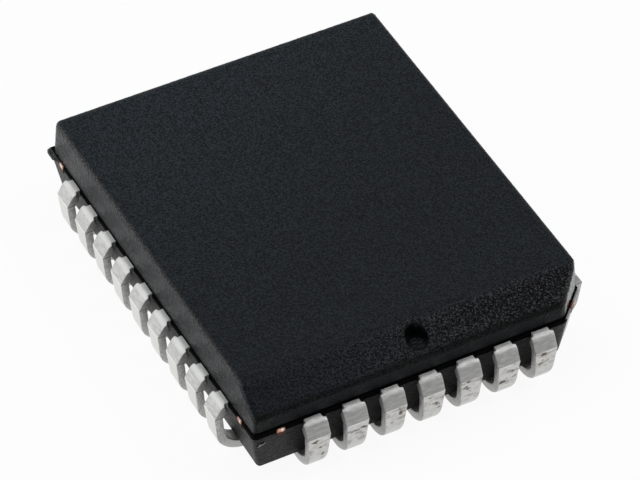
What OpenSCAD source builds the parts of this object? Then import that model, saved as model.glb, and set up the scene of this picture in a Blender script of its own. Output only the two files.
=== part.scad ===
// Plastic leaded chip carrier with thirty-two J-leads: seven on each short side, nine on each long one.
// Millimetres. The seating plane is z = 0, the short side with the orientation bevel faces -Y, top is +Z.

/* [Moulding] */
// Width of the moulding where the leads leave it
body_w = 11.43; // [11.2:0.01:11.7]
// Length of the moulding where the leads leave it
body_l = 13.97; // [13.7:0.01:14.2]
// Height of the top face above the lead tops
top_h = 1.25; // [1.1:0.01:1.35]
// Depth of the underside below the lead tops
low_h = 1.6; // [1.5:0.01:1.65]
// Draft of the upper half, in degrees
top_draft = 3.5; // [1:0.5:5]
// Draft of the lower half, in degrees
low_draft = 10; // [6:0.5:12]
// Width of the smooth ledge along the parting line
ledge = 0.04; // [0.03:0.01:0.1]
// Rounding of the edges round the top face and the underside
edge_r = 0.18; // [0.1:0.01:0.22]
// Corner cut that marks the first lead's corner
corner_cut = 1.0; // [0.9:0.01:1.25]
// Distance of the bevel's top edge behind the front face
bevel_back = 1.11; // [1.05:0.01:1.25]
// Height of the bevel's lower edge above the lead tops
bevel_low = 0.55; // [0.45:0.01:0.6]
// Diameter of the mark in the middle of the bevel
dimple_d = 0.72; // [0.6:0.01:0.8]
// Depth of the mark at its front rim
dimple_rim = 0.05; // [0.03:0.01:0.1]
// Diameter of the two ejector pin marks underneath
pin_mark_d = 1.6; // [1.2:0.1:2.0]
// Depth of the ejector pin marks
pin_mark_deep = 0.06; // [0.03:0.01:0.1]
// Distance between the ejector pin marks
pin_mark_span = 7.0; // [6:0.1:8]

/* [Leads] */
// Distance from one lead to the next
pitch = 1.27; // [1.25:0.005:1.29]
// Thickness of the lead metal
lead_t = 0.25; // [0.2:0.01:0.28]
// Width of a lead where it leaves the moulding
neck_w = 0.56; // [0.5:0.01:0.6]
// Width of the shoulder, with the stubs of the trimmed dam bar
wide_w = 0.76; // [0.7:0.01:0.8]
// Width of the leg at the top of the curl
leg_w = 0.64; // [0.6:0.01:0.65]
// Width of the foot that touches the board
foot_w = 0.52; // [0.4:0.01:0.55]
// Height of the lead tops above the seating plane
seat_drop = 2.13; // [2.1:0.01:2.3]
// Reach of a lead beyond the moulding
reach = 0.505; // [0.48:0.005:0.55]
// Outer radius of the shoulder bend
bend_r = 0.3; // [0.29:0.01:0.32]
// Angle through which the shoulder turns down, in degrees
drop_turn = 60; // [58:1:70]
// Height of the crease below the lead tops
crease_drop = 0.46; // [0.42:0.01:0.48]
// Lean of the leg towards the moulding, in degrees
leg_lean = 6; // [4:0.5:8]
// Outer radius of the curl
curl_r = 1.0; // [0.95:0.01:1.05]
// Angle through which the curl turns
curl_turn = 125; // [105:1:128]

/* [Lead frame inside] */
// Width of the die paddle
paddle_w = 5.8; // [5.2:0.05:6.2]
// Length of the die paddle
paddle_l = 7.4; // [6.8:0.05:7.8]
// Gap between the paddle and the finger tips
finger_gap = 0.45; // [0.35:0.01:0.6]
// Straight run of a finger behind the lead exit
finger_run = 0.9; // [0.7:0.01:1.1]
// Width of a finger tip
finger_tip = 0.3; // [0.25:0.01:0.36]
// Distance between finger tips on the short sides
short_tips = 0.75; // [0.65:0.01:0.8]
// Distance between finger tips on the long sides
long_tips = 0.8; // [0.7:0.01:0.84]
// Width of the tie bars that carry the paddle
tie_w = 0.28; // [0.22:0.01:0.34]
// Gap between the last lead of a side and the tie bar beside it
tie_gap = 0.615; // [0.5:0.005:0.7]

/* [Die and wires] */
// Width of the silicon die
die_w = 4.0; // [3.2:0.05:4.6]
// Length of the silicon die
die_l = 5.2; // [4.4:0.05:6.0]
// Thickness of the silicon die
die_t = 0.35; // [0.25:0.01:0.4]
// Thickness of the die attach layer
attach_t = 0.03; // [0.02:0.005:0.05]
// Thickness of a bond wire
wire_t = 0.03; // [0.025:0.001:0.04]
// Rise of a bond wire above the die
wire_loop = 0.16; // [0.12:0.01:0.2]

/* [Hidden] */
$fn = 96;

half_w = body_w / 2;
half_l = body_l / 2;
// the ledge stands a little above the lead tops and the lower half starts a little below them
ledge_z = seat_drop + 0.04;
lip_z = seat_drop - 0.1;
top_z = seat_drop + top_h;
low_z = seat_drop - low_h;
// the lower half comes out a little further than the lead exits
lip = 0.03;
// distance along x - y of the corner cut at the lead exits
cut_at = half_w + half_l - corner_cut;
diag = sqrt(2);
// size of the blocks that cut things away
away = body_w + body_l;
// shoulder, crease and curl of a lead, outwards from the moulding
crease_z = seat_drop - crease_drop;
panel_h = crease_drop - bend_r * (1 - cos(drop_turn));
neck_run = reach - bend_r * sin(drop_turn) - panel_h / tan(drop_turn);
neck_out = 0.15;
curl_z = curl_r * (1 - sin(leg_lean));
leg_top = reach - tan(leg_lean) * (crease_z - curl_z);
curl_u = leg_top - curl_r * cos(leg_lean);
foot_z = curl_r * 0.4;
die_z = seat_drop + attach_t;

// number of leads on a side: the sides run front, right, back, left
function count(side) = side % 2 == 0 ? 7 : 9;
// distance from the middle of the part to the lead exits of a side
function edge(side) = side % 2 == 0 ? half_l : half_w;
function paddle_edge(side) = (side % 2 == 0 ? paddle_l : paddle_w) / 2;
function die_edge(side) = (side % 2 == 0 ? die_l : die_w) / 2;
function die_span(side) = (side % 2 == 0 ? die_w : die_l) - 0.6;
function tip_step(side) = side % 2 == 0 ? short_tips : long_tips;
// the first lead is in the middle of the front, and the count goes round anticlockwise from above
function side_of(n) = n <= 4 || n >= 30 ? 0 : n <= 13 ? 1 : n <= 20 ? 2 : 3;
function place_of(n) = n <= 4 ? n + 2 : n <= 13 ? n - 5 : n <= 20 ? n - 14 : n <= 29 ? n - 21 : n - 30;
// how many steps a lead stands from the middle of its side
function step_of(n) = place_of(n) - (count(side_of(n)) - 1) / 2;

// a long block whose sides lean in from half width a at height z0 to the level face at z1, with rounded edges there
module drafted(a, z0, z1, lean) {
    up = sign(z1 - z0);
    arc_z = z1 - up * edge_r;
    arc_x = a - (abs(z1 - z0) - edge_r) * tan(lean) - edge_r / cos(lean);
    wall_x = arc_x + edge_r * cos(lean);
    wall_z = arc_z + up * edge_r * sin(lean);
    rotate([90, 0, 0])
        linear_extrude(away, center = true) {
            polygon([[-a, z0], [a, z0], [wall_x, wall_z], [arc_x, z1], [-arc_x, z1], [-wall_x, wall_z]]);
            for (x = [-arc_x, arc_x])
                translate([x, arc_z])
                    circle(edge_r);
        }
}

// everything beyond the corner cut, with its face leaning in from height z by the given draft
module beyond_cut(out, z, lean) {
    rotate([0, 0, -45])
        translate([cut_at / diag + out, 0, z])
            rotate([0, -lean, 0])
                translate([0, -away / 2, -away / 2])
                    cube(away);
}

module upper_half() {
    l = half_l - ledge;
    front_low = l - (bevel_low - ledge_z + seat_drop) * tan(top_draft);
    fall = (top_h - bevel_low) / (front_low - half_l + bevel_back);
    dimple_y = half_l - bevel_back + (front_low - half_l + bevel_back) * 0.46;
    difference() {
        intersection() {
            drafted(half_w - ledge, ledge_z, top_z, top_draft);
            rotate([0, 0, 90])
                drafted(l, ledge_z, top_z, top_draft);
        }
        beyond_cut(-ledge, ledge_z, top_draft);
        // the orientation bevel along the front
        rotate([90, 0, -90])
            linear_extrude(away, center = true)
                polygon([
                    [half_l - bevel_back - 1, top_z + fall],
                    [front_low + 1, seat_drop + bevel_low - fall],
                    [front_low + 1, top_z + fall]
                ]);
        // the round mark in the middle of the bevel, with a level floor
        translate([0, -dimple_y, top_z - fall * (dimple_y + dimple_d / 2 - half_l + bevel_back) - dimple_rim])
            cylinder(h = 2, d = dimple_d);
    }
}

module lower_half() {
    difference() {
        union() {
            translate([-half_w, -half_l, lip_z])
                cube([body_w, body_l, ledge_z - lip_z]);
            intersection() {
                drafted(half_w + lip, lip_z, low_z, low_draft);
                rotate([0, 0, 90])
                    drafted(half_l + lip, lip_z, low_z, low_draft);
            }
        }
        beyond_cut(lip, lip_z, -low_draft);
        translate([0, 0, lip_z])
            rotate([0, 0, -45])
                translate([cut_at / diag, -away / 2, 0])
                    cube(away);
        for (y = [-pin_mark_span / 2, pin_mark_span / 2])
            translate([0, y, low_z - 1])
                cylinder(h = pin_mark_deep + 1, d = pin_mark_d);
    }
}

// plan of the finger of one lead, from the tip by the paddle to a reach outside the moulding
module finger_plan(n, out) {
    side = side_of(n);
    x = step_of(n) * pitch;
    tip = step_of(n) * tip_step(side);
    tip_y = -paddle_edge(side) - finger_gap;
    exit_y = -edge(side);
    rotate([0, 0, 90 * side])
        polygon([
            [x - neck_w / 2, exit_y - out],
            [x + neck_w / 2, exit_y - out],
            [x + neck_w / 2, exit_y + finger_run],
            [tip + finger_tip / 2, tip_y],
            [tip - finger_tip / 2, tip_y],
            [x - neck_w / 2, exit_y + finger_run]
        ]);
}

// one straight bar of the frame between two points
module bar_plan(a, b) {
    d = b - a;
    translate(a)
        rotate([0, 0, atan2(d[1], d[0])])
            translate([0, -tie_w / 2])
                square([norm(d), tie_w]);
}

// plan of the paddle and its tie bars, which end just proud of the moulding where they were cut
module paddle_plan() {
    out = lip + 0.01;
    x = 3 * pitch + (neck_w + tie_w) / 2 + tie_gap;
    y = 4 * pitch + (neck_w + tie_w) / 2 + tie_gap;
    square([paddle_w, paddle_l], center = true);
    for (c = [[-1, -1], [-1, 1], [1, 1]]) {
        bar_plan([c[0] * (paddle_w / 2 - 0.4), c[1] * (paddle_l / 2 - 0.4)], [c[0] * x, c[1] * y]);
        bar_plan([c[0] * (x - tie_w / 2), c[1] * y], [c[0] * (half_w + out), c[1] * y]);
        bar_plan([c[0] * x, c[1] * (y - tie_w / 2)], [c[0] * x, c[1] * (half_l + out)]);
    }
    // the bar to the cut corner goes straight out through the middle of the cut
    mid = (half_w - half_l) / 2;
    bar_plan([paddle_w / 2 - 0.4, -paddle_l / 2 + 0.4], [cut_at / 2 + mid - 0.5, -cut_at / 2 + mid + 0.5]);
    bar_plan([cut_at / 2 + mid - 0.6, -cut_at / 2 + mid + 0.6],
        [cut_at / 2 + mid + out / diag, -cut_at / 2 + mid - out / diag]);
}

module frame_plate() {
    translate([0, 0, seat_drop - lead_t])
        linear_extrude(lead_t)
            children();
}

module moulded_body() {
    color("dimgray")
        difference() {
            union() {
                upper_half();
                lower_half();
            }
            for (n = [1 : 32])
                frame_plate() finger_plan(n, 0.1);
            frame_plate() paddle_plan();
            die_block(seat_drop, attach_t + die_t);
            bond_wires();
        }
}

module die_paddle() {
    color("peru")
        frame_plate() paddle_plan();
}

// a layer with the plan of the die
module die_block(z, h) {
    translate([-die_w / 2, -die_l / 2, z])
        cube([die_w, die_l, h]);
}

module die_attach() {
    color("lightgray")
        die_block(seat_drop, attach_t);
}

module silicon_die() {
    color("slategray")
        die_block(die_z, die_t);
}

// one wire: up from its pad, level over the edge of the die, then down to the finger
module wire(n) {
    side = side_of(n);
    pad = [step_of(n) * die_span(side) / (count(side) - 1), -die_edge(side) + 0.15];
    tip = [step_of(n) * tip_step(side), -paddle_edge(side) - finger_gap - 0.1];
    d = tip - pad;
    run = norm(d);
    high = die_z + die_t + wire_loop;
    level = run * 0.35;
    rotate([0, 0, 90 * side])
        translate(pad)
            rotate([0, 0, atan2(d[1], d[0])])
                rotate([90, 0, 0])
                    linear_extrude(wire_t, center = true)
                        polygon([
                            [-wire_t / 2, die_z + die_t],
                            [-wire_t / 2, high],
                            [level, high],
                            [run - 0.03, seat_drop + wire_t],
                            [run + 0.03, seat_drop + wire_t],
                            [run + 0.03, seat_drop],
                            [run - 0.06, seat_drop],
                            [level - wire_t / 2, high - wire_t],
                            [wire_t / 2, high - wire_t],
                            [wire_t / 2, die_z + die_t]
                        ]);
}

module bond_wires() {
    color("gold")
        for (n = [1 : 32])
            wire(n);
}

// side view of a lead outside the moulding: x is the way out and y is up
module lead_side() {
    translate([0, seat_drop - lead_t])
        square([neck_run, lead_t]);
    // shoulder bend, which runs a little way into the panel
    translate([neck_run, seat_drop - bend_r])
        intersection() {
            difference() {
                circle(bend_r);
                circle(bend_r - lead_t);
            }
            polygon([[0, 0], [0, 1], [1, 1], [sin(drop_turn + 10), cos(drop_turn + 10)]]);
        }
    // flat panel, sloping out to the crease
    translate([reach, crease_z])
        rotate(90 - drop_turn)
            translate([-lead_t, 0])
                square([lead_t, panel_h / sin(drop_turn)]);
    // leg, leaning in below the crease
    translate([reach, crease_z])
        rotate(-leg_lean)
            translate([-lead_t, -(crease_z - curl_z) / cos(leg_lean)])
                square([lead_t, (crease_z - curl_z) / cos(leg_lean)]);
    // curl under the moulding
    translate([curl_u, curl_r])
        intersection() {
            difference() {
                circle(curl_r);
                circle(curl_r - lead_t);
            }
            polygon([
                [0, 0],
                [3 * cos(leg_lean), -3 * sin(leg_lean)],
                [3, -3],
                [-3 * tan(curl_turn - 90), -3]
            ]);
        }
}

// the part of the side view inside a rectangle, at a width
module slice(low, high, width) {
    rotate([90, 0, -90])
        linear_extrude(width, center = true)
            intersection() {
                lead_side();
                translate(low)
                    square(high - low);
            }
}

module lead(n) {
    side = side_of(n);
    frame_plate() finger_plan(n, 0);
    rotate([0, 0, 90 * side])
        translate([step_of(n) * pitch, -edge(side), 0]) {
            slice([0, crease_z], [neck_out, seat_drop + 1], neck_w);
            slice([neck_out, crease_z], [reach + 1, seat_drop + 1], wide_w);
            intersection() {
                slice([-3, -1], [reach + 1, crease_z], wide_w);
                rotate([90, 0, 0])
                    linear_extrude(away, center = true)
                        polygon([
                            [-foot_w / 2, -1], [foot_w / 2, -1], [foot_w / 2, foot_z], [leg_w / 2, curl_z],
                            [wide_w / 2 - 0.02, crease_z], [wide_w / 2 - 0.02, top_z],
                            [0.02 - wide_w / 2, top_z], [0.02 - wide_w / 2, crease_z],
                            [-leg_w / 2, curl_z], [-foot_w / 2, foot_z]
                        ]);
            }
        }
}

module tin(n) {
    color("silver")
        lead(n);
}

module lead_01() { tin(1); }
module lead_02() { tin(2); }
module lead_03() { tin(3); }
module lead_04() { tin(4); }
module lead_05() { tin(5); }
module lead_06() { tin(6); }
module lead_07() { tin(7); }
module lead_08() { tin(8); }
module lead_09() { tin(9); }
module lead_10() { tin(10); }
module lead_11() { tin(11); }
module lead_12() { tin(12); }
module lead_13() { tin(13); }
module lead_14() { tin(14); }
module lead_15() { tin(15); }
module lead_16() { tin(16); }
module lead_17() { tin(17); }
module lead_18() { tin(18); }
module lead_19() { tin(19); }
module lead_20() { tin(20); }
module lead_21() { tin(21); }
module lead_22() { tin(22); }
module lead_23() { tin(23); }
module lead_24() { tin(24); }
module lead_25() { tin(25); }
module lead_26() { tin(26); }
module lead_27() { tin(27); }
module lead_28() { tin(28); }
module lead_29() { tin(29); }
module lead_30() { tin(30); }
module lead_31() { tin(31); }
module lead_32() { tin(32); }

moulded_body();
die_paddle();
die_attach();
silicon_die();
bond_wires();
lead_01();
lead_02();
lead_03();
lead_04();
lead_05();
lead_06();
lead_07();
lead_08();
lead_09();
lead_10();
lead_11();
lead_12();
lead_13();
lead_14();
lead_15();
lead_16();
lead_17();
lead_18();
lead_19();
lead_20();
lead_21();
lead_22();
lead_23();
lead_24();
lead_25();
lead_26();
lead_27();
lead_28();
lead_29();
lead_30();
lead_31();
lead_32();
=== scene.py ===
from math import cos, pi, radians, sin, tan

import bmesh
import bpy
from mathutils import Matrix, Vector


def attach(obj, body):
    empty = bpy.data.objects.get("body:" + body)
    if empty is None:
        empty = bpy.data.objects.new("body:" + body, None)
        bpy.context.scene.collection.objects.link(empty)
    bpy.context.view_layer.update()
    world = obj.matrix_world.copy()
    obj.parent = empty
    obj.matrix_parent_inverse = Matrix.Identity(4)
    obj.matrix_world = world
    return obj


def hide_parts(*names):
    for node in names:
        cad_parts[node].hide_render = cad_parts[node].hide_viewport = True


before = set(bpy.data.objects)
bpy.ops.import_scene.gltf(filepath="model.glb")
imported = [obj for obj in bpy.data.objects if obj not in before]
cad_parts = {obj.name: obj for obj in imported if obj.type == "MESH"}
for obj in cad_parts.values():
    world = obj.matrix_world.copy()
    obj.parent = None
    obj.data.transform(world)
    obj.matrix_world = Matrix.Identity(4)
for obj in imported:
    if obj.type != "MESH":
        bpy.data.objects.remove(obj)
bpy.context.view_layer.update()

# Die paddle: the middle of the stamped copper alloy lead frame, with bars that tied it to the frame's rails.
# The moulding hides it, apart from the bar ends at the corners, where the press cut them off. The punch smeared
# the upper part of each end bright and left the lower part torn and dark. All sizes are in millimetres.
BAR_X = 4.845
BAR_Y = 6.115
BAR_CLEAN = 0.1
BAR_RIM = 0.15
SMEARED_Z = 2.08
TORN_Z = 2.03
DULL_COPPER = (0.6, 0.3, 0.2, 1)
BRIGHT_COPPER = (1.0, 0.79, 0.69, 1)
COPPER_RIM_SHADE = (0.32, 0.13, 0.07, 1)
TORN_COPPER = (0.07, 0.035, 0.022, 1)


class Shade:
    """One value in a material. Arithmetic on it adds the nodes that work it out."""

    def __init__(self, tree, socket):
        self.tree = tree
        self.socket = socket

    def node(self, kind, settings, sockets, output=0):
        made = self.tree.nodes.new(kind)
        for name, value in settings.items():
            setattr(made, name, value)
        for name, value in sockets.items():
            if isinstance(value, Shade):
                self.tree.links.new(value.socket, made.inputs[name])
            else:
                made.inputs[name].default_value = value
        return Shade(self.tree, made.outputs[output])

    def math(self, operation, first, second=0):
        return self.node("ShaderNodeMath", {"operation": operation}, {0: first, 1: second})

    def __abs__(self):
        return self.math("ABSOLUTE", self)

    def __add__(self, other):
        return self.math("ADD", self, other)

    def __sub__(self, other):
        return self.math("SUBTRACT", self, other)

    def __rsub__(self, other):
        return self.math("SUBTRACT", other, self)

    def __mul__(self, other):
        return self.math("MULTIPLY", self, other)

    __radd__ = __add__
    __rmul__ = __mul__

    def ramp(self, low, high):
        """0 below low, 1 above high and smooth between, or falling if low is the larger."""
        limits = {"Value": self, "From Min": low, "From Max": high}
        return self.node("ShaderNodeMapRange", {"interpolation_type": "SMOOTHSTEP"}, limits)

    def band(self, start, full, fading, end):
        """Rises from 0 at start to 1 at full, and falls from fading to 0 at end."""
        return self.ramp(start, full) * self.ramp(end, fading)

    def blend(self, first, second):
        """From the first colour at 0 to the second at 1."""
        return self.node("ShaderNodeMix", {"data_type": "RGBA"}, {0: self, 6: first, 7: second}, 2)

    def noise(self, scale, detail=2.0):
        return self.node("ShaderNodeTexNoise", {}, {"Vector": self, "Scale": scale, "Detail": detail})

    def stretched(self, x, y, z):
        return self.node("ShaderNodeVectorMath", {"operation": "MULTIPLY"}, {0: self, 1: (x, y, z)})

    def part(self, axis):
        return self.node("ShaderNodeSeparateXYZ", {}, {0: self}, axis)

    def raised(self, depth):
        """Bumps of the given depth."""
        return self.node("ShaderNodeBump", {}, {"Height": self, "Distance": depth / 1000, "Strength": 1.0})


def finish_of(name, **constants):
    """A new material, its place on the object in millimetres, and a function that feeds its shader."""
    material = bpy.data.materials.new(name)
    material.use_nodes = True
    tree = material.node_tree
    shader = tree.nodes["Principled BSDF"]
    for socket, value in constants.items():
        shader.inputs[socket.replace("_", " ")].default_value = value
    where = Shade(tree, tree.nodes.new("ShaderNodeTexCoord").outputs["Object"])
    place = where.node("ShaderNodeVectorMath", {"operation": "SCALE"}, {0: where, "Scale": 1000.0})

    def feed(**values):
        for socket, value in values.items():
            tree.links.new(value.socket, shader.inputs[socket.replace("_", " ")])

    return material, place, feed


def dress(node, material):
    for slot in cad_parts[node].material_slots:
        slot.material = material


copper, place, feed = finish_of("cut_copper", Metallic=1.0)
smear = place.noise(9.0, 3.0)
torn_end = (place.part(2) + 0.08 * smear).ramp(SMEARED_Z, TORN_Z)
from_bar = place.math("MINIMUM", abs(abs(place.part(0)) - BAR_X), abs(abs(place.part(1)) - BAR_Y))
# painted shade: each cut end goes dark brown round its edge, where the moulding around it shades it
bar_rim_shade = (from_bar + 0.06 * smear).ramp(BAR_CLEAN, BAR_RIM)
tone = smear.ramp(0.36, 0.5).blend(DULL_COPPER, BRIGHT_COPPER)
tone = bar_rim_shade.blend(tone, COPPER_RIM_SHADE)
feed(
    Base_Color=torn_end.blend(tone, TORN_COPPER),
    Roughness=0.35 + 0.3 * smear,
    Normal=place.noise(25.0).raised(0.01),
)
dress("die_paddle", copper)

# Die attach: a thin layer of silver-filled epoxy that glues the die to the paddle.
# It is screened on wet and cured in an oven, so it is dull and a little lumpy.
GREY_EPOXY = (0.4, 0.4, 0.4, 1)
SILVER_FLAKE = (0.75, 0.75, 0.73, 1)
paste, place, feed = finish_of("silver_epoxy", Metallic=0.6)
flakes = place.noise(30.0, 3.0)
feed(
    Base_Color=flakes.blend(GREY_EPOXY, SILVER_FLAKE),
    Roughness=0.4 + 0.3 * flakes,
    Normal=flakes.raised(0.01),
)
dress("die_attach", paste)

# Silicon die: a sawn piece of a polished wafer, set on the epoxy.
# Its top carries fine square blocks of circuit under a clear passivation layer.
BARE_SILICON = (0.12, 0.13, 0.17, 1)
CIRCUIT = (0.3, 0.28, 0.22, 1)
silicon, place, feed = finish_of("passivated_silicon", Roughness=0.2)
blocks = place.node("ShaderNodeTexBrick", {}, {"Vector": place, "Scale": 2.0, "Mortar Size": 0.03}, 1)
feed(Base_Color=blocks.blend(BARE_SILICON, CIRCUIT))
dress("silicon_die", silicon)

# Bond wires: drawn gold wire, welded from the pads on the die to the finger tips before the moulding.
# Drawing leaves faint scratches along them.
SCRATCHED_GOLD = (0.9, 0.62, 0.22, 1)
CLEAN_GOLD = (1.0, 0.77, 0.36, 1)
gold, place, feed = finish_of("gold_wire", Metallic=1.0)
drawn = place.noise(60.0)
feed(Base_Color=drawn.blend(SCRATCHED_GOLD, CLEAN_GOLD), Roughness=0.2 + 0.2 * drawn)
dress("bond_wires", gold)

# J-leads: the outer ends of the lead frame, copper alloy plated with matt tin. A press trims each one from the dam
# bar, which leaves a stub on both edges, bends it down at the shoulder, creases it and rolls its end under the body.
# Each runs on inside the moulding as a finger that reaches towards the die.
PITCH = 1.27
HALF_W = 5.715
HALF_L = 6.985
LEAD_TOP = 2.13
LEAD_T = 0.28
REACH = 0.505
NECK_W = 0.56
STUB_FLARE = (0.62, 0.71, 0.76)
BEND_R = 0.3
BEND_Z = LEAD_TOP - BEND_R
DROP = radians(60)
CREASE_W = 0.74
CREASE_Z = LEAD_TOP - 0.46
PANEL_H = BEND_Z + BEND_R * cos(DROP) - CREASE_Z
PANEL_OUT = PANEL_H / tan(DROP)
NECK_RUN = REACH - BEND_R * sin(DROP) - PANEL_OUT
LEAN = radians(6)
FOLD = pi / 2 + LEAN - DROP
LEG_W = 0.64
LEG_STEPS = 5
CURL_R = 1.0
CURL_TURN = radians(125)
CURL_STEPS = 40
CURL_Z = CURL_R * (1 - sin(LEAN))
LEG_IN = tan(LEAN) * (CREASE_Z - CURL_Z)
CURL_Y = LEG_IN - REACH + CURL_R * cos(LEAN)
FOOT_W = 0.52
FOOT_Z = 0.4 * CURL_R
STRIP_LINES = (-0.18, -0.09, 0, 0.09, 0.18)
BURR_R = 0.025
FINGER_RUN = 0.9
FINGER_TIP = 0.3
FINGER_GAP = 0.45
TOUCH = 0.001
# the leads on a side, its place, the paddle's edge behind it, and the step from one finger tip to the next
SHORT_SIDE = (7, HALF_L, 3.7, 0.75)
LONG_SIDE = (9, HALF_W, 2.9, 0.8)
# the number of each side's first lead, round from the bevelled side
SIDES = ((30, SHORT_SIDE), (5, LONG_SIDE), (14, SHORT_SIDE), (21, LONG_SIDE))
LEADS = 32
STREAK_DARK = (0.5, 0.5, 0.485, 1)
STREAK_LIGHT = (0.64, 0.64, 0.62, 1)
SIDE_SHOULDER_LIT_TIN = (0.62, 0.62, 0.6, 1)
SIDE_LEG_LIT_TIN = (0.79, 0.785, 0.765, 1)
FRONT_LEG_SHADED_TIN = (0.74, 0.735, 0.72, 1)
RUBBED_TIN = (0.68, 0.67, 0.655, 1)
BURNISHED_HIGHLIGHT_TIN = (0.86, 0.85, 0.83, 1)
STAINED_TIN = (0.44, 0.42, 0.39, 1)
SCUFFED_TIN = (0.13, 0.11, 0.09, 1)
CUT_DARK = (0.46, 0.46, 0.445, 1)
CUT_LIGHT = (0.66, 0.66, 0.64, 1)
CUT_FOOT_LIT = (0.72, 0.72, 0.7, 1)
CUT_SHOULDER_SHADED = (0.36, 0.36, 0.35, 1)
CUT_FOLD_SHADE = (0.27, 0.27, 0.26, 1)


def pick(kind, test, facing=None):
    """In edit mode, selects only the points, edges or faces that lie wholly where the test says."""
    bpy.ops.mesh.select_mode(type=kind)
    bpy.ops.mesh.select_all(action="DESELECT")
    cage = bmesh.from_edit_mesh(bpy.context.edit_object.data)
    for item in {"VERT": cage.verts, "EDGE": cage.edges, "FACE": cage.faces}[kind]:
        corners = [item] if kind == "VERT" else item.verts
        if all(test(corner.co) for corner in corners):
            if facing is None or item.normal.dot(facing) > 0.7:
                item.select_set(True)
    cage.select_flush_mode()
    bmesh.update_edit_mesh(bpy.context.edit_object.data)


def block(name, low, high):
    """A cube between two corners, open for editing."""
    low, high = Vector(low), Vector(high)
    bpy.ops.object.select_all(action="DESELECT")
    bpy.ops.mesh.primitive_cube_add(size=1, location=(low + high) / 2, scale=high - low)
    bpy.ops.object.transform_apply(location=True, rotation=True, scale=True)
    bpy.context.object.name = name
    bpy.ops.object.mode_set(mode="EDIT")
    return bpy.context.object


def slit(spot, normal):
    """Cuts a line of edges across the whole mesh."""
    bpy.ops.mesh.select_all(action="SELECT")
    bpy.ops.mesh.bisect(plane_co=spot, plane_no=normal)


def push(x, y, z):
    bpy.ops.mesh.extrude_region_move(TRANSFORM_OT_translate={"value": (x, y, z)})


def roll(steps, angle, y, z):
    bpy.ops.mesh.spin(steps=steps, angle=-angle, center=(0, y, z), axis=(1, 0, 0))


def tilt(angle, y, z):
    bpy.ops.transform.rotate(value=-angle, orient_axis="X", center_override=(0, y, z))


def widen(width, wanted):
    """Brings the selected end of the strip from one width to another, which it gives back."""
    bpy.ops.transform.resize(value=(wanted / width, 1, 1), center_override=(0, 0, 0))
    return wanted


def clipped(share):
    return min(1, max(0, share))


def settle(piece, stand=Matrix()):
    """Puts a piece drawn in millimetres where it stands, in metres, with nothing left on the object."""
    bpy.ops.object.select_all(action="DESELECT")
    piece.select_set(True)
    bpy.context.view_layer.objects.active = piece
    piece.matrix_world = Matrix.Scale(0.001, 4) @ stand
    bpy.ops.object.transform_apply(location=True, rotation=True, scale=True)


lead = block("lead_form", (-NECK_W / 2, 0, LEAD_TOP - LEAD_T), (NECK_W / 2, FINGER_RUN, LEAD_TOP))
for line in STRIP_LINES:
    slit((line, 0, 0), (1, 0, 0))
pick("FACE", lambda p: p.y < TOUCH)
push(0, -NECK_RUN, 0)
# the bend, where the stubs of the dam bar flare out
roll(3, DROP / 4, -NECK_RUN, BEND_Z)
width = NECK_W
for wider in STUB_FLARE:
    roll(1, DROP / 24, -NECK_RUN, BEND_Z)
    width = widen(width, wider)
roll(8, DROP * 5 / 8, -NECK_RUN, BEND_Z)
# the flat panel, down to the crease
push(0, -PANEL_OUT, -PANEL_H)
tilt(FOLD / 2, -REACH, CREASE_Z)
width = widen(width, CREASE_W)
# the leg, which narrows, and the curl, which narrows on as far as the foot
for step in range(1, LEG_STEPS + 1):
    push(0, LEG_IN / LEG_STEPS, (CURL_Z - CREASE_Z) / LEG_STEPS)
    width = widen(width, CREASE_W + (LEG_W - CREASE_W) * step / LEG_STEPS)
tilt(FOLD / 2, LEG_IN - REACH, CURL_Z)
for step in range(1, CURL_STEPS + 1):
    roll(1, CURL_TURN / CURL_STEPS, CURL_Y, CURL_R)
    middle_z = CURL_R - (CURL_R - LEAD_T / 2) * sin(LEAN + CURL_TURN * step / CURL_STEPS)
    width = widen(width, FOOT_W + (LEG_W - FOOT_W) * clipped((middle_z - FOOT_Z) / (CURL_Z - FOOT_Z)))
bpy.ops.mesh.select_all(action="SELECT")
bpy.ops.mesh.normals_make_consistent(inside=False)
bpy.ops.mesh.select_all(action="DESELECT")
bpy.ops.mesh.select_mode(type="EDGE")
bpy.ops.mesh.edges_select_sharp(sharpness=radians(40))
bpy.ops.mesh.bevel(offset=BURR_R, segments=2, affect="EDGES")
bpy.ops.object.mode_set(mode="OBJECT")
bpy.ops.object.shade_smooth_by_angle(angle=radians(34))
# the strip unrolled: across it and along it
strip = lead.data.uv_layers.new(name="strip")
for loop in lead.data.loops:
    spot = lead.data.vertices[loop.vertex_index].co
    strip.data[loop.index].uv = (spot.x, spot.y + spot.z)

tin, place, feed = finish_of("matt_tin", Metallic=1.0)
along = place.node("ShaderNodeUVMap", {"uv_map": "strip"}, {})
height = place.part(2)
cloudy = place.noise(3.0, 4.0)
grit = place.noise(22.0)
lumps = place.noise(7.0)
streak = along.stretched(4, 9, 1).noise(1.0, 4.0)
front = place.part(1).ramp(-6.7, -6.9)
shoulder = height.ramp(LEAD_TOP - 0.16, LEAD_TOP - 0.06)
burnish_and_highlight = height.band(CREASE_Z - 0.035, CREASE_Z - 0.008, CREASE_Z + 0.002, CREASE_Z + 0.02)
below = height.ramp(CREASE_Z + 0.02, CREASE_Z - 0.02)
rubbed = below * height.ramp(0.5, 1.0) * front
stain = along.stretched(2.4, 5, 1).noise(1.0, 4.0).ramp(0.52, 0.66) * rubbed
scuff = along.stretched(3, 6, 1).noise(1.0, 4.0).ramp(0.57, 0.68) * rubbed
tone = streak.ramp(0.3, 0.7).blend(STREAK_DARK, STREAK_LIGHT)
# painted light: the shoulders of the leads off the front side get a lighter, even tin, for the light that falls on
# them
tone = (shoulder * (1 - 0.9 * front)).blend(tone, SIDE_SHOULDER_LIT_TIN)
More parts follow.
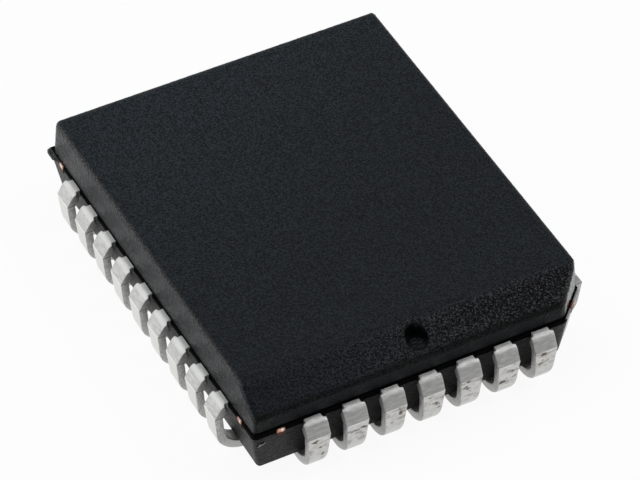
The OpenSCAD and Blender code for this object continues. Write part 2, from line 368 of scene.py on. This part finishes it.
# painted light and shade: below the crease the legs on the front side get a darker tin than the legs on the other
# sides, for the light that falls on them
tone = (below * (1 - 0.85 * rubbed)).blend(tone, front.blend(SIDE_LEG_LIT_TIN, FRONT_LEG_SHADED_TIN))
tone = (rubbed * lumps.ramp(0.35, 0.65)).blend(tone, RUBBED_TIN)
# a bright line along the crease: partly burnished tin, partly a painted highlight where the edge catches the light
tone = burnish_and_highlight.blend(tone, BURNISHED_HIGHLIGHT_TIN)
tone = stain.blend(tone, STAINED_TIN)
tone = scuff.blend(tone, SCUFFED_TIN)
feed(
    Base_Color=tone,
    Roughness=0.52 + 0.16 * cloudy,
    Normal=(0.4 * grit + 0.5 * streak + lumps * below).raised(0.02),
)
cut, place, feed = finish_of("cut_edge", Metallic=0.4)
height = place.part(2)
speckle = place.noise(13.0, 3.0)
fold_shade = height.band(CREASE_Z - 0.05, CREASE_Z - 0.01, CREASE_Z, CREASE_Z + 0.04)
tone = speckle.ramp(0.36, 0.64).blend(CUT_DARK, CUT_LIGHT)
# painted light and shade: the cut edges get lighter towards the foot, where the floor lights them, and darker above
# the crease, where the next leads shade them
tone = height.ramp(0.7, 0.2).blend(tone, CUT_FOOT_LIT)
tone = height.ramp(CREASE_Z - 0.05, CREASE_Z + 0.2).blend(tone, CUT_SHOULDER_SHADED)
feed(
    # painted shade: a dark line across the cut edge at the crease
    Base_Color=fold_shade.blend(tone, CUT_FOLD_SHADE),
    Roughness=0.4 + 0.2 * speckle,
    Normal=speckle.raised(0.01),
)
lead.data.materials.append(tin)
lead.data.materials.append(cut)
for face in lead.data.polygons:
    face.material_index = int(abs(face.normal.x) > 0.9)

for side, (first, (count, edge, paddle_edge, tip_step)) in enumerate(SIDES):
    for seat in range(count):
        from_middle = seat - (count - 1) / 2
        number = (first + seat - 1) % LEADS + 1
        bpy.ops.object.select_all(action="DESELECT")
        lead.select_set(True)
        bpy.context.view_layer.objects.active = lead
        bpy.ops.object.duplicate()
        piece = bpy.context.object
        piece.name = f"j_lead_{number:02d}"
        # its own stretch of the streaks and scuffs
        for mapped in piece.data.uv_layers["strip"].data:
            mapped.uv.x += number
        bpy.ops.object.mode_set(mode="EDIT")
        pick("FACE", lambda p: p.y > FINGER_RUN - TOUCH and p.z > CREASE_Z)
        push(from_middle * (tip_step - PITCH), edge - paddle_edge - FINGER_GAP - FINGER_RUN, 0)
        bpy.ops.transform.resize(value=(FINGER_TIP / NECK_W, 1, 1))
        bpy.ops.object.mode_set(mode="OBJECT")
        turn = Matrix.Rotation(pi / 2 * side, 4, "Z")
        settle(piece, turn @ Matrix.Translation((from_middle * PITCH, -edge, 0)))
        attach(piece, "root")
        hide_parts(f"lead_{number:02d}")
bpy.data.objects.remove(lead)

# Moulded body: black epoxy compound, pressed hot into a split mould round the lead frame, so it is one piece.
# Spark erosion left the mould rough, which gives the grained top, walls and orientation bevel. The two halves
# meet in a narrow smooth ledge at the lead tops, with a little flash at two corners.
LIP = 0.03
LIP_Z = LEAD_TOP - 0.1
LEDGE = 0.04
LEDGE_Z = LEAD_TOP + 0.01
SEAM_Z = LEDGE_Z + 0.08
TOP_Z = LEAD_TOP + 1.25
TOP_DRAFT = radians(3.5)
LOW_Z = LEAD_TOP - 1.65
LOW_DRAFT = radians(10)
CORNER_CUT = 1.0
BEVEL_Y = 1.11 - HALF_L
BEVEL_Z = LEAD_TOP + 0.55
BEVEL_FRONT = LEDGE - HALF_L + (BEVEL_Z - LEDGE_Z) * tan(TOP_DRAFT)
BEVEL_EDGE = Vector((0, BEVEL_Y, TOP_Z))
BEVEL_FACING = Vector((0, BEVEL_Z - TOP_Z, BEVEL_Y - BEVEL_FRONT)).normalized()
BACK_RIM_R = 0.27
BACK_CORNER_R = 0.26
RIM_R = 0.18
CORNER_R = 0.14
BOTTOM_R = 0.12
BEVEL_FOOT_R = 0.07
GRID = 0.14
GRID_SPANS = (
    (0, -5.6, 5.65),
    (1, -6.9, 6.95),
    (2, LEDGE_Z + GRID, TOP_Z - 0.2),
    (2, LOW_Z + GRID, LIP_Z - 0.05),
)
NUB_L = 0.72
NUB_OUT = (-0.12, 0.04, 0)
NUB_TAPER = (1, 0.75, 0.6)
THREAD = Vector((-5.46, -6.95, 1.7))
THREAD_L = 0.3
THREAD_T = 0.04
THREAD_OUT = 0.025
THREAD_TURN = radians(20)
THREAD_FACE = -6.97
THREAD_SLOPE = 0.17
GRAIN_FOOT = LEDGE_Z + 0.15
GRAIN_SIZE = 0.07
GRAIN_DEPTH = 0.05
TOP_GRAIN = 0.3
BEVEL_GRAIN = 0.5
MARK_R = 0.345
MARK_Y = BEVEL_Y + (BEVEL_FRONT - BEVEL_Y) * 0.43
MARK_DEPTH = 0.05
MARK_Z = TOP_Z - (BEVEL_Y - MARK_Y + MARK_R) * (TOP_Z - BEVEL_Z) / (BEVEL_Y - BEVEL_FRONT) - MARK_DEPTH
MARK_SAG = 0.05
MARK_SAG_R = 0.12
PIN_R = 0.8
PIN_Y = 3.5
PIN_Z = LOW_Z + 0.06
CUTTER_H = 2
FRONT_Y = -6.8
BACK_Y = 6
ROW_Y = -6.6
ROW_LEFT = -4.25
ROW_RIGHT = 4.3
NEAR = 0.01
TOP_FLECK = (0.037, 0.052, 0.066, 1)
BEVEL_GLINT_FLECK = (0.105, 0.106, 0.113, 1)
LOWER_FLECK = (0.075, 0.075, 0.072, 1)
RIM_LIGHT_FLECK = (0.13, 0.126, 0.12, 1)
WALL_FOOT_LIGHT_FLECK = (0.17, 0.17, 0.17, 1)
FRONT_SHADED_BLACK = (0.0003, 0.0006, 0.0009, 1)
BACK_LIT_BLACK = (0.0006, 0.0009, 0.0012, 1)
BEVEL_BLACK = (0.0008, 0.001, 0.0015, 1)
BEVEL_FOOT_SHADE_BLACK = (0.0002, 0.0002, 0.0003, 1)
SEAM_DARK = (0.0008, 0.0008, 0.0009, 1)
SEAM_LIGHT = (0.0025, 0.0025, 0.0027, 1)
TORN_HIGHLIGHT_DARK = (0.3, 0.29, 0.28, 1)
TORN_HIGHLIGHT_LIGHT = (0.5, 0.48, 0.46, 1)


def on_bevel(p):
    return p.y < BEVEL_Y + NEAR and abs((p - BEVEL_EDGE).dot(BEVEL_FACING)) < NEAR


def rounding_at(ends):
    """The radius of one edge of the moulding, or 0 where it stays sharp."""
    low, high = sorted(p.z for p in ends)
    top = low > TOP_Z - NEAR
    bevelled = all(on_bevel(p) for p in ends)
    upright = high - low > 0.3 and (ends[0] - ends[1]).xy.length < 0.45
    back_left = max(p.x for p in ends) < 0 < min(p.y for p in ends)
    if bevelled and high < BEVEL_Z + NEAR:
        return BEVEL_FOOT_R
    if top and min(p.y for p in ends) > BACK_Y:
        return BACK_RIM_R
    if bevelled or top:
        return RIM_R
    if upright and back_left and low > LEDGE_Z - NEAR:
        return BACK_CORNER_R
    if upright:
        return CORNER_R
    return BOTTOM_R if high < LOW_Z + NEAR else 0


# the ledge, then the lower half down from it, the upper half up from it, and the bevel cut off the upper half
body = block("moulding", (-HALF_W, -HALF_L, LIP_Z), (HALF_W, HALF_L, LEDGE_Z))
pick("EDGE", lambda p: p.x > 0 and p.y < 0)
bpy.ops.mesh.bevel(offset=CORNER_CUT, segments=1, affect="EDGES")
pick("FACE", lambda p: p.z < LIP_Z + TOUCH)
bpy.ops.transform.resize(value=(1 + LIP / HALF_W, 1 + LIP / HALF_L, 1), center_override=(0, 0, 0))
bpy.ops.mesh.inset(thickness=(LIP_Z - LOW_Z) * tan(LOW_DRAFT), depth=LIP_Z - LOW_Z)
pick("FACE", lambda p: p.z > LEDGE_Z - TOUCH)
bpy.ops.mesh.inset(thickness=LEDGE)
bpy.ops.mesh.inset(thickness=(TOP_Z - LEDGE_Z) * tan(TOP_DRAFT), depth=TOP_Z - LEDGE_Z)
bpy.ops.mesh.select_all(action="SELECT")
bpy.ops.mesh.bisect(plane_co=BEVEL_EDGE, plane_no=BEVEL_FACING, use_fill=True, clear_outer=True)
bpy.ops.object.mode_set(mode="OBJECT")

# each edge gets its share of the largest rounding
rounded = body.data.attributes.new("bevel_weight_edge", "FLOAT", "EDGE")
for item in body.data.edges:
    radius = rounding_at([body.data.vertices[i].co for i in item.vertices])
    rounded.data[item.index].value = radius / BACK_RIM_R
rounding = body.modifiers.new("rounding", "BEVEL")
rounding.limit_method = "WEIGHT"
rounding.width = BACK_RIM_R
rounding.segments = 4
rounding.use_clamp_overlap = False
bpy.context.view_layer.objects.active = body
bpy.ops.object.modifier_apply(modifier="rounding")

# a grid over the whole skin, fine enough to carry the grain
bpy.ops.object.mode_set(mode="EDIT")
for axis, start, stop in GRID_SPANS:
    normal = Vector((0, 0, 0))
    normal[axis] = 1
    for line in range(int((stop - start) / GRID) + 1):
        slit(normal * (start + GRID * line), normal)
slit((0, 0, SEAM_Z), (0, 0, 1))
# a nub of flash at the back corner, where the mould leaked
pick(
    "FACE",
    lambda p: p.x < 0.02 - HALF_W and p.y > HALF_L - NUB_L and LIP_Z - NEAR < p.z < LEDGE_Z + NEAR,
)
push(*NUB_OUT)
bpy.ops.transform.resize(value=NUB_TAPER)
# a torn thread of flash on the lower half at the front corner
for line in (THREAD.z - THREAD_T / 2, THREAD.z + THREAD_T / 2):
    slit((0, 0, line), (0, 0, 1))
pick(
    "FACE",
    lambda p: p.y < FRONT_Y
    and abs(p.x - THREAD.x) < THREAD_L / 2
    and abs(p.z - THREAD.z) < THREAD_T / 2 + TOUCH,
    Vector((0, -1, 0)),
)
push(0, -THREAD_OUT, 0)
bpy.ops.transform.rotate(value=THREAD_TURN, orient_axis="Y", center_override=THREAD)
# a finer grid on the upper half, and finer again on the bevel
pick("FACE", lambda p: p.z > LEDGE_Z + 0.1)
bpy.ops.mesh.subdivide(number_cuts=1)
pick("FACE", on_bevel)
bpy.ops.mesh.subdivide(number_cuts=1)
bpy.ops.object.mode_set(mode="OBJECT")

# the grain, which deepens along the bevel
grain = body.vertex_groups.new(name="grain")
for point in body.data.vertices:
    if point.co.z > GRAIN_FOOT:
        share = TOP_GRAIN
        if on_bevel(point.co):
            share = BEVEL_GRAIN + (1 - BEVEL_GRAIN) * clipped((point.co.x + 5.5) / 6)
        grain.add([point.index], share, "REPLACE")
pits = bpy.data.textures.new("spark_erosion", "CLOUDS")
pits.noise_scale = GRAIN_SIZE
pits.noise_depth = 1
rough = body.modifiers.new("grain", "DISPLACE")
rough.texture = pits
rough.texture_coords = "LOCAL"
rough.strength = GRAIN_DEPTH
rough.mid_level = 0.5
rough.vertex_group = "grain"
bpy.ops.object.modifier_apply(modifier="grain")

# the round mark in the bevel, sunk round its edge, with a level floor, and the ejector pin marks underneath
bpy.ops.object.mode_set(mode="EDIT")
pick("VERT", lambda p: p.z > BEVEL_Z and (p.xy - Vector((0, MARK_Y))).length < MARK_R + NEAR)
bpy.ops.transform.translate(
    value=BEVEL_FACING * -MARK_SAG,
    use_proportional_edit=True,
    proportional_edit_falloff="SMOOTH",
    proportional_size=MARK_SAG_R,
)
bpy.ops.object.mode_set(mode="OBJECT")
bpy.ops.object.select_all(action="DESELECT")
cutters = []
for spot, radius in (
    ((0, MARK_Y, MARK_Z + CUTTER_H / 2), MARK_R),
    ((0, -PIN_Y, PIN_Z - CUTTER_H / 2), PIN_R),
    ((0, PIN_Y, PIN_Z - CUTTER_H / 2), PIN_R),
):
    bpy.ops.mesh.primitive_cylinder_add(vertices=64, radius=radius, depth=CUTTER_H, location=spot)
    cutters.append(bpy.context.object)
for cutter in cutters:
    cutter.select_set(True)
bpy.ops.object.join()
bpy.ops.object.transform_apply(location=True, rotation=True, scale=True)
marks = bpy.context.object
hollow = body.modifiers.new("marks", "BOOLEAN")
hollow.operation = "DIFFERENCE"
hollow.object = marks
hollow.solver = "EXACT"
bpy.context.view_layer.objects.active = body
bpy.ops.object.modifier_apply(modifier="marks")
bpy.data.objects.remove(marks)
bpy.ops.object.select_all(action="DESELECT")
body.select_set(True)
bpy.ops.object.shade_smooth_by_angle(angle=radians(50))


def grained(name, gloss, roughness, relief):
    """The moulding compound, nearly black, with the flecks and bumps of its grain, and with painted light and shade.
    """
    material, place, feed = finish_of(name, Specular_IOR_Level=gloss)
    across, depth, height = place.part(0), place.part(1), place.part(2)
    facing_up = place.node("ShaderNodeNewGeometry", {}, {}, 1).part(2)

    # where on the moulding, and where light and shade are painted on it
    level = facing_up.ramp(0.35, 0.7)
    # painted light: the rounded rims between the top and the walls get more flecks, a sheen for the light they catch
    rim_sheen = 4 * level * (1 - level)
    lower = height.ramp(LIP_Z + 0.02, LIP_Z - 0.02)
    # painted light: the top gets lighter, with more flecks, towards the back left, where the light falls
    lit_back_left = (depth - 0.6 * across).ramp(-3.0, 9.0)
    front = depth.ramp(-6.6, -6.8)
    bevel = depth.ramp(BEVEL_Y + 0.1, BEVEL_Y - 0.25) * height.ramp(BEVEL_Z - 0.02, BEVEL_Z + 0.12)
    # the bevel's flecks grow and lighten towards the right: partly the deeper grain there, partly painted glints
    # where the light falls
    deep_grain_and_glint = bevel * across.ramp(-5.5, 3.5)
    # painted shade: the foot of the bevel goes darker, with few flecks
    bevel_foot_shade = height.band(BEVEL_Z - 0.07, BEVEL_Z, BEVEL_Z + 0.04, BEVEL_Z + 0.12) * front
    under_bevel = height.ramp(BEVEL_Z + 0.02, BEVEL_Z - 0.05) * front * (1 - lower)
    # painted light: the rims also get lighter flecks
    rim_light = facing_up.band(0.2, 0.5, 0.8, 0.95) * (1 - bevel)
    # painted light: the foot of the left wall gets lighter flecks
    lit_wall_foot = height.ramp(LEDGE_Z + 0.7, LEDGE_Z + 0.1) * across.ramp(-5.3, -5.5) * (1 - lower)
    # painted shade: the lower front wall behind the leads gets fewer flecks, for the shade the leads cast
    shade_behind_leads = lower * depth.ramp(-6.5, -6.7) * across.band(-4.7, -4.2, 4.2, 4.6)
    flat = place.stretched(1, 1, 0)
    spots = {0: flat, 1: (0, MARK_Y, 0)}
    from_mark = flat.node("ShaderNodeVectorMath", {"operation": "DISTANCE"}, spots, 1)
    mark = from_mark.ramp(MARK_R + 0.06, MARK_R - 0.02)
    mark_edge = from_mark.band(MARK_R - 0.16, MARK_R - 0.07, MARK_R - 0.01, MARK_R + 0.03)

    # the grain there, with fewer flecks where shade is painted
    grainy = place.noise(15.0)
    fine = place.noise(30.0)
    swell = place.noise(7.0)
    mottled = place.noise(5.0, 3.0).ramp(0.35, 0.65)
    coarse = 0.35 + 0.22 * lit_back_left + 0.5 * lower + 0.4 * rim_sheen + 0.45 * deep_grain_and_glint
    coarse = coarse * (1 - 0.45 * mark) * (1 - 0.85 * mark_edge)
    grit = (grainy + 0.6 * fine) * coarse
    flecks = (0.5 + 0.1 * deep_grain_and_glint) * grainy + (0.5 - 0.1 * deep_grain_and_glint) * fine - 0.07 * deep_grain_and_glint
    flecks = flecks.ramp(0.4, 0.62) * coarse
    flecks = flecks * (1 - 0.6 * lower * mottled) * (1 - 0.4 * shade_behind_leads) * (1 - 0.6 * under_bevel)
    flecks = flecks * (1 - 0.8 * bevel_foot_shade)

    # the flecks and the black between them, lighter where light is painted and darker where shade is painted
    tint = deep_grain_and_glint.blend(TOP_FLECK, BEVEL_GLINT_FLECK)
    tint = lower.blend(tint, LOWER_FLECK)
    tint = (0.9 * rim_light).blend(tint, RIM_LIGHT_FLECK)
    tint = lit_wall_foot.blend(tint, WALL_FOOT_LIGHT_FLECK)
    plain = lit_back_left.blend(FRONT_SHADED_BLACK, BACK_LIT_BLACK)
    plain = (0.6 * bevel * (1 - mark)).blend(plain, BEVEL_BLACK)
    plain = (0.9 * bevel_foot_shade).blend(plain, BEVEL_FOOT_SHADE_BLACK)
    feed(
        Base_Color=flecks.blend(plain, tint),
        Roughness=roughness + 0.15 * level + 0.1 * fine + 0.1 * grainy + 0.05 * lower,
        Normal=(grit * (0.5 + 0.5 * level + deep_grain_and_glint + lower) + swell * (1 - level)).raised(relief),
    )
    return material


resin = grained("epoxy_moulding", gloss=0.1, roughness=0.24, relief=0.035)
wall = grained("epoxy_wall", gloss=0.22, roughness=0.22, relief=0.06)
cut_corner = grained("epoxy_corner", gloss=0.45, roughness=0.04, relief=0.004)
# a rougher copy of the compound for the lower front wall behind the leads, which carries painted shade there
shaded = grained("epoxy_shaded_between_leads", gloss=0.1, roughness=0.3, relief=0.05)
# the parting line: a dull black band with no flecks and little gloss, painted shade where the ledge between the
# halves lies in shadow
parting_shade, place, feed = finish_of("parting_line_shade", Specular_IOR_Level=0.03)
dull = place.noise(9.0)
feed(Base_Color=dull.blend(SEAM_DARK, SEAM_LIGHT), Roughness=0.6 + 0.3 * dull)
# the torn thread of flash is painted light grey: a painted highlight for the light its raised edge catches
torn_flash_highlight, place, feed = finish_of("torn_resin_highlight", Specular_IOR_Level=0.2)
crumbs = place.noise(25.0)
feed(
    Base_Color=crumbs.ramp(0.35, 0.65).blend(TORN_HIGHLIGHT_DARK, TORN_HIGHLIGHT_LIGHT),
    Roughness=0.6 + 0.2 * crumbs,
    Normal=crumbs.raised(0.01),
)


def skin_at(face):
    """The finish of one face of the moulding, by its place and the way it looks."""
    x, y, z = face.center
    seam_top = SEAM_Z if y < FRONT_Y else LEDGE_Z
    corners = [body.data.vertices[i].co for i in face.vertices]
    proud = y < THREAD_FACE + (THREAD.z - z) * THREAD_SLOPE
    if x < -HALF_W - NEAR and y > BACK_Y:
        return resin
    if face.normal.x > 0.6 and abs(face.normal.x + face.normal.y) < 0.1:
        return cut_corner
    if abs(face.normal.x) > 0.75 and z > LEDGE_Z + NEAR:
        return wall
    if all(LIP_Z - NEAR / 2 < p.z < seam_top + NEAR / 2 for p in corners):
        return parting_shade
    if proud and (face.center - THREAD).xz.length < THREAD_L / 2:
        return torn_flash_highlight
    # the lower front wall behind the leads takes the copy with painted shade
    if y < ROW_Y and z < LIP_Z and ROW_LEFT < x < ROW_RIGHT and face.normal.y < -0.7:
        return shaded
    return resin


skins = (resin, parting_shade, torn_flash_highlight, cut_corner, wall, shaded)
body.data.materials.clear()
for skin in skins:
    body.data.materials.append(skin)
for face in body.data.polygons:
    face.material_index = skins.index(skin_at(face))
settle(body)
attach(body, "root")
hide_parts("moulded_body")

# Floor, lamps and camera: a white table under soft studio light, seen from above the front left corner.
# The floor keeps a faint shadow, and the camera stands where the photograph was taken. Places are in metres.
FLOOR_GREY = (0.8, 0.8, 0.8, 1)
FLOOR_WHITE = (1, 1, 1, 1)
SHADOW_FADE = 0.93
FRONT_SKY = (0.1, 0.1, 0.11, 1)
BACK_SKY = (0.73, 0.75, 0.77, 1)
CAMERA_PLACE = (-0.041647, -0.079731, 0.088938)
CAMERA_AHEAD = Vector((0.33277, 0.63540, -0.69680))
CAMERA_LENS = 230.37
bpy.ops.object.select_all(action="DESELECT")
bpy.ops.mesh.primitive_plane_add(size=2)
floor = bpy.context.object
floor.name = "floor"
paper = bpy.data.materials.new("white_floor")
paper.use_nodes = True
tree = paper.node_tree
tree.nodes.clear()
path = tree.nodes.new("ShaderNodeLightPath")
seen = Shade(tree, path.outputs["Is Camera Ray"])
seen = seen.math("MAXIMUM", seen, Shade(tree, path.outputs["Is Glossy Ray"]))
seen = seen.math("MAXIMUM", seen, Shade(tree, path.outputs["Is Transmission Ray"]))
matt = seen.node("ShaderNodeBsdfDiffuse", {}, {"Color": FLOOR_GREY})
white = seen.node("ShaderNodeEmission", {}, {"Color": FLOOR_WHITE, "Strength": 1.0})
faint = seen.node("ShaderNodeMixShader", {}, {0: SHADOW_FADE, 1: matt, 2: white})
both = seen.node("ShaderNodeMixShader", {}, {0: seen, 1: matt, 2: faint})
out = tree.nodes.new("ShaderNodeOutputMaterial")
tree.links.new(both.socket, out.inputs["Surface"])
floor.data.materials.append(paper)

world = bpy.data.worlds.new("studio")
bpy.context.scene.world = world
world.use_nodes = True
tree = world.node_tree
tree.nodes.clear()
way = Shade(tree, tree.nodes.new("ShaderNodeTexCoord").outputs["Generated"])
behind = (way.part(1) + 0.5 * way.part(2)).ramp(-0.7, 0.6)
sky = behind.blend(FRONT_SKY, BACK_SKY)
glow = sky.node("ShaderNodeBackground", {}, {"Color": sky, "Strength": 1.0})
out = tree.nodes.new("ShaderNodeOutputWorld")
tree.links.new(glow.socket, out.inputs["Surface"])


def lamp(name, spot, size, power):
    """A square soft lamp that looks at the middle of the part."""
    light = bpy.data.lights.new(name, "AREA")
    light.size = size
    light.energy = power
    holder = bpy.data.objects.new(name, light)
    bpy.context.scene.collection.objects.link(holder)
    holder.location = spot
    holder.rotation_euler = (-Vector(spot)).to_track_quat("-Z", "Y").to_euler()


lamp("key", spot=(-0.14, 0.1, 0.13), size=0.26, power=0.2)
lamp("glint", spot=(0.09, -0.03, 0.12), size=0.04, power=0.06)

eye = bpy.data.cameras.new("camera")
eye.lens = CAMERA_LENS
eye.sensor_width = 36
eye.clip_start = 0.005
eye.clip_end = 10
camera = bpy.data.objects.new("camera", eye)
bpy.context.scene.collection.objects.link(camera)
camera.location = CAMERA_PLACE
camera.rotation_euler = CAMERA_AHEAD.to_track_quat("-Z", "Y").to_euler()
bpy.context.scene.camera = camera
bpy.context.scene.view_settings.view_transform = "Standard"
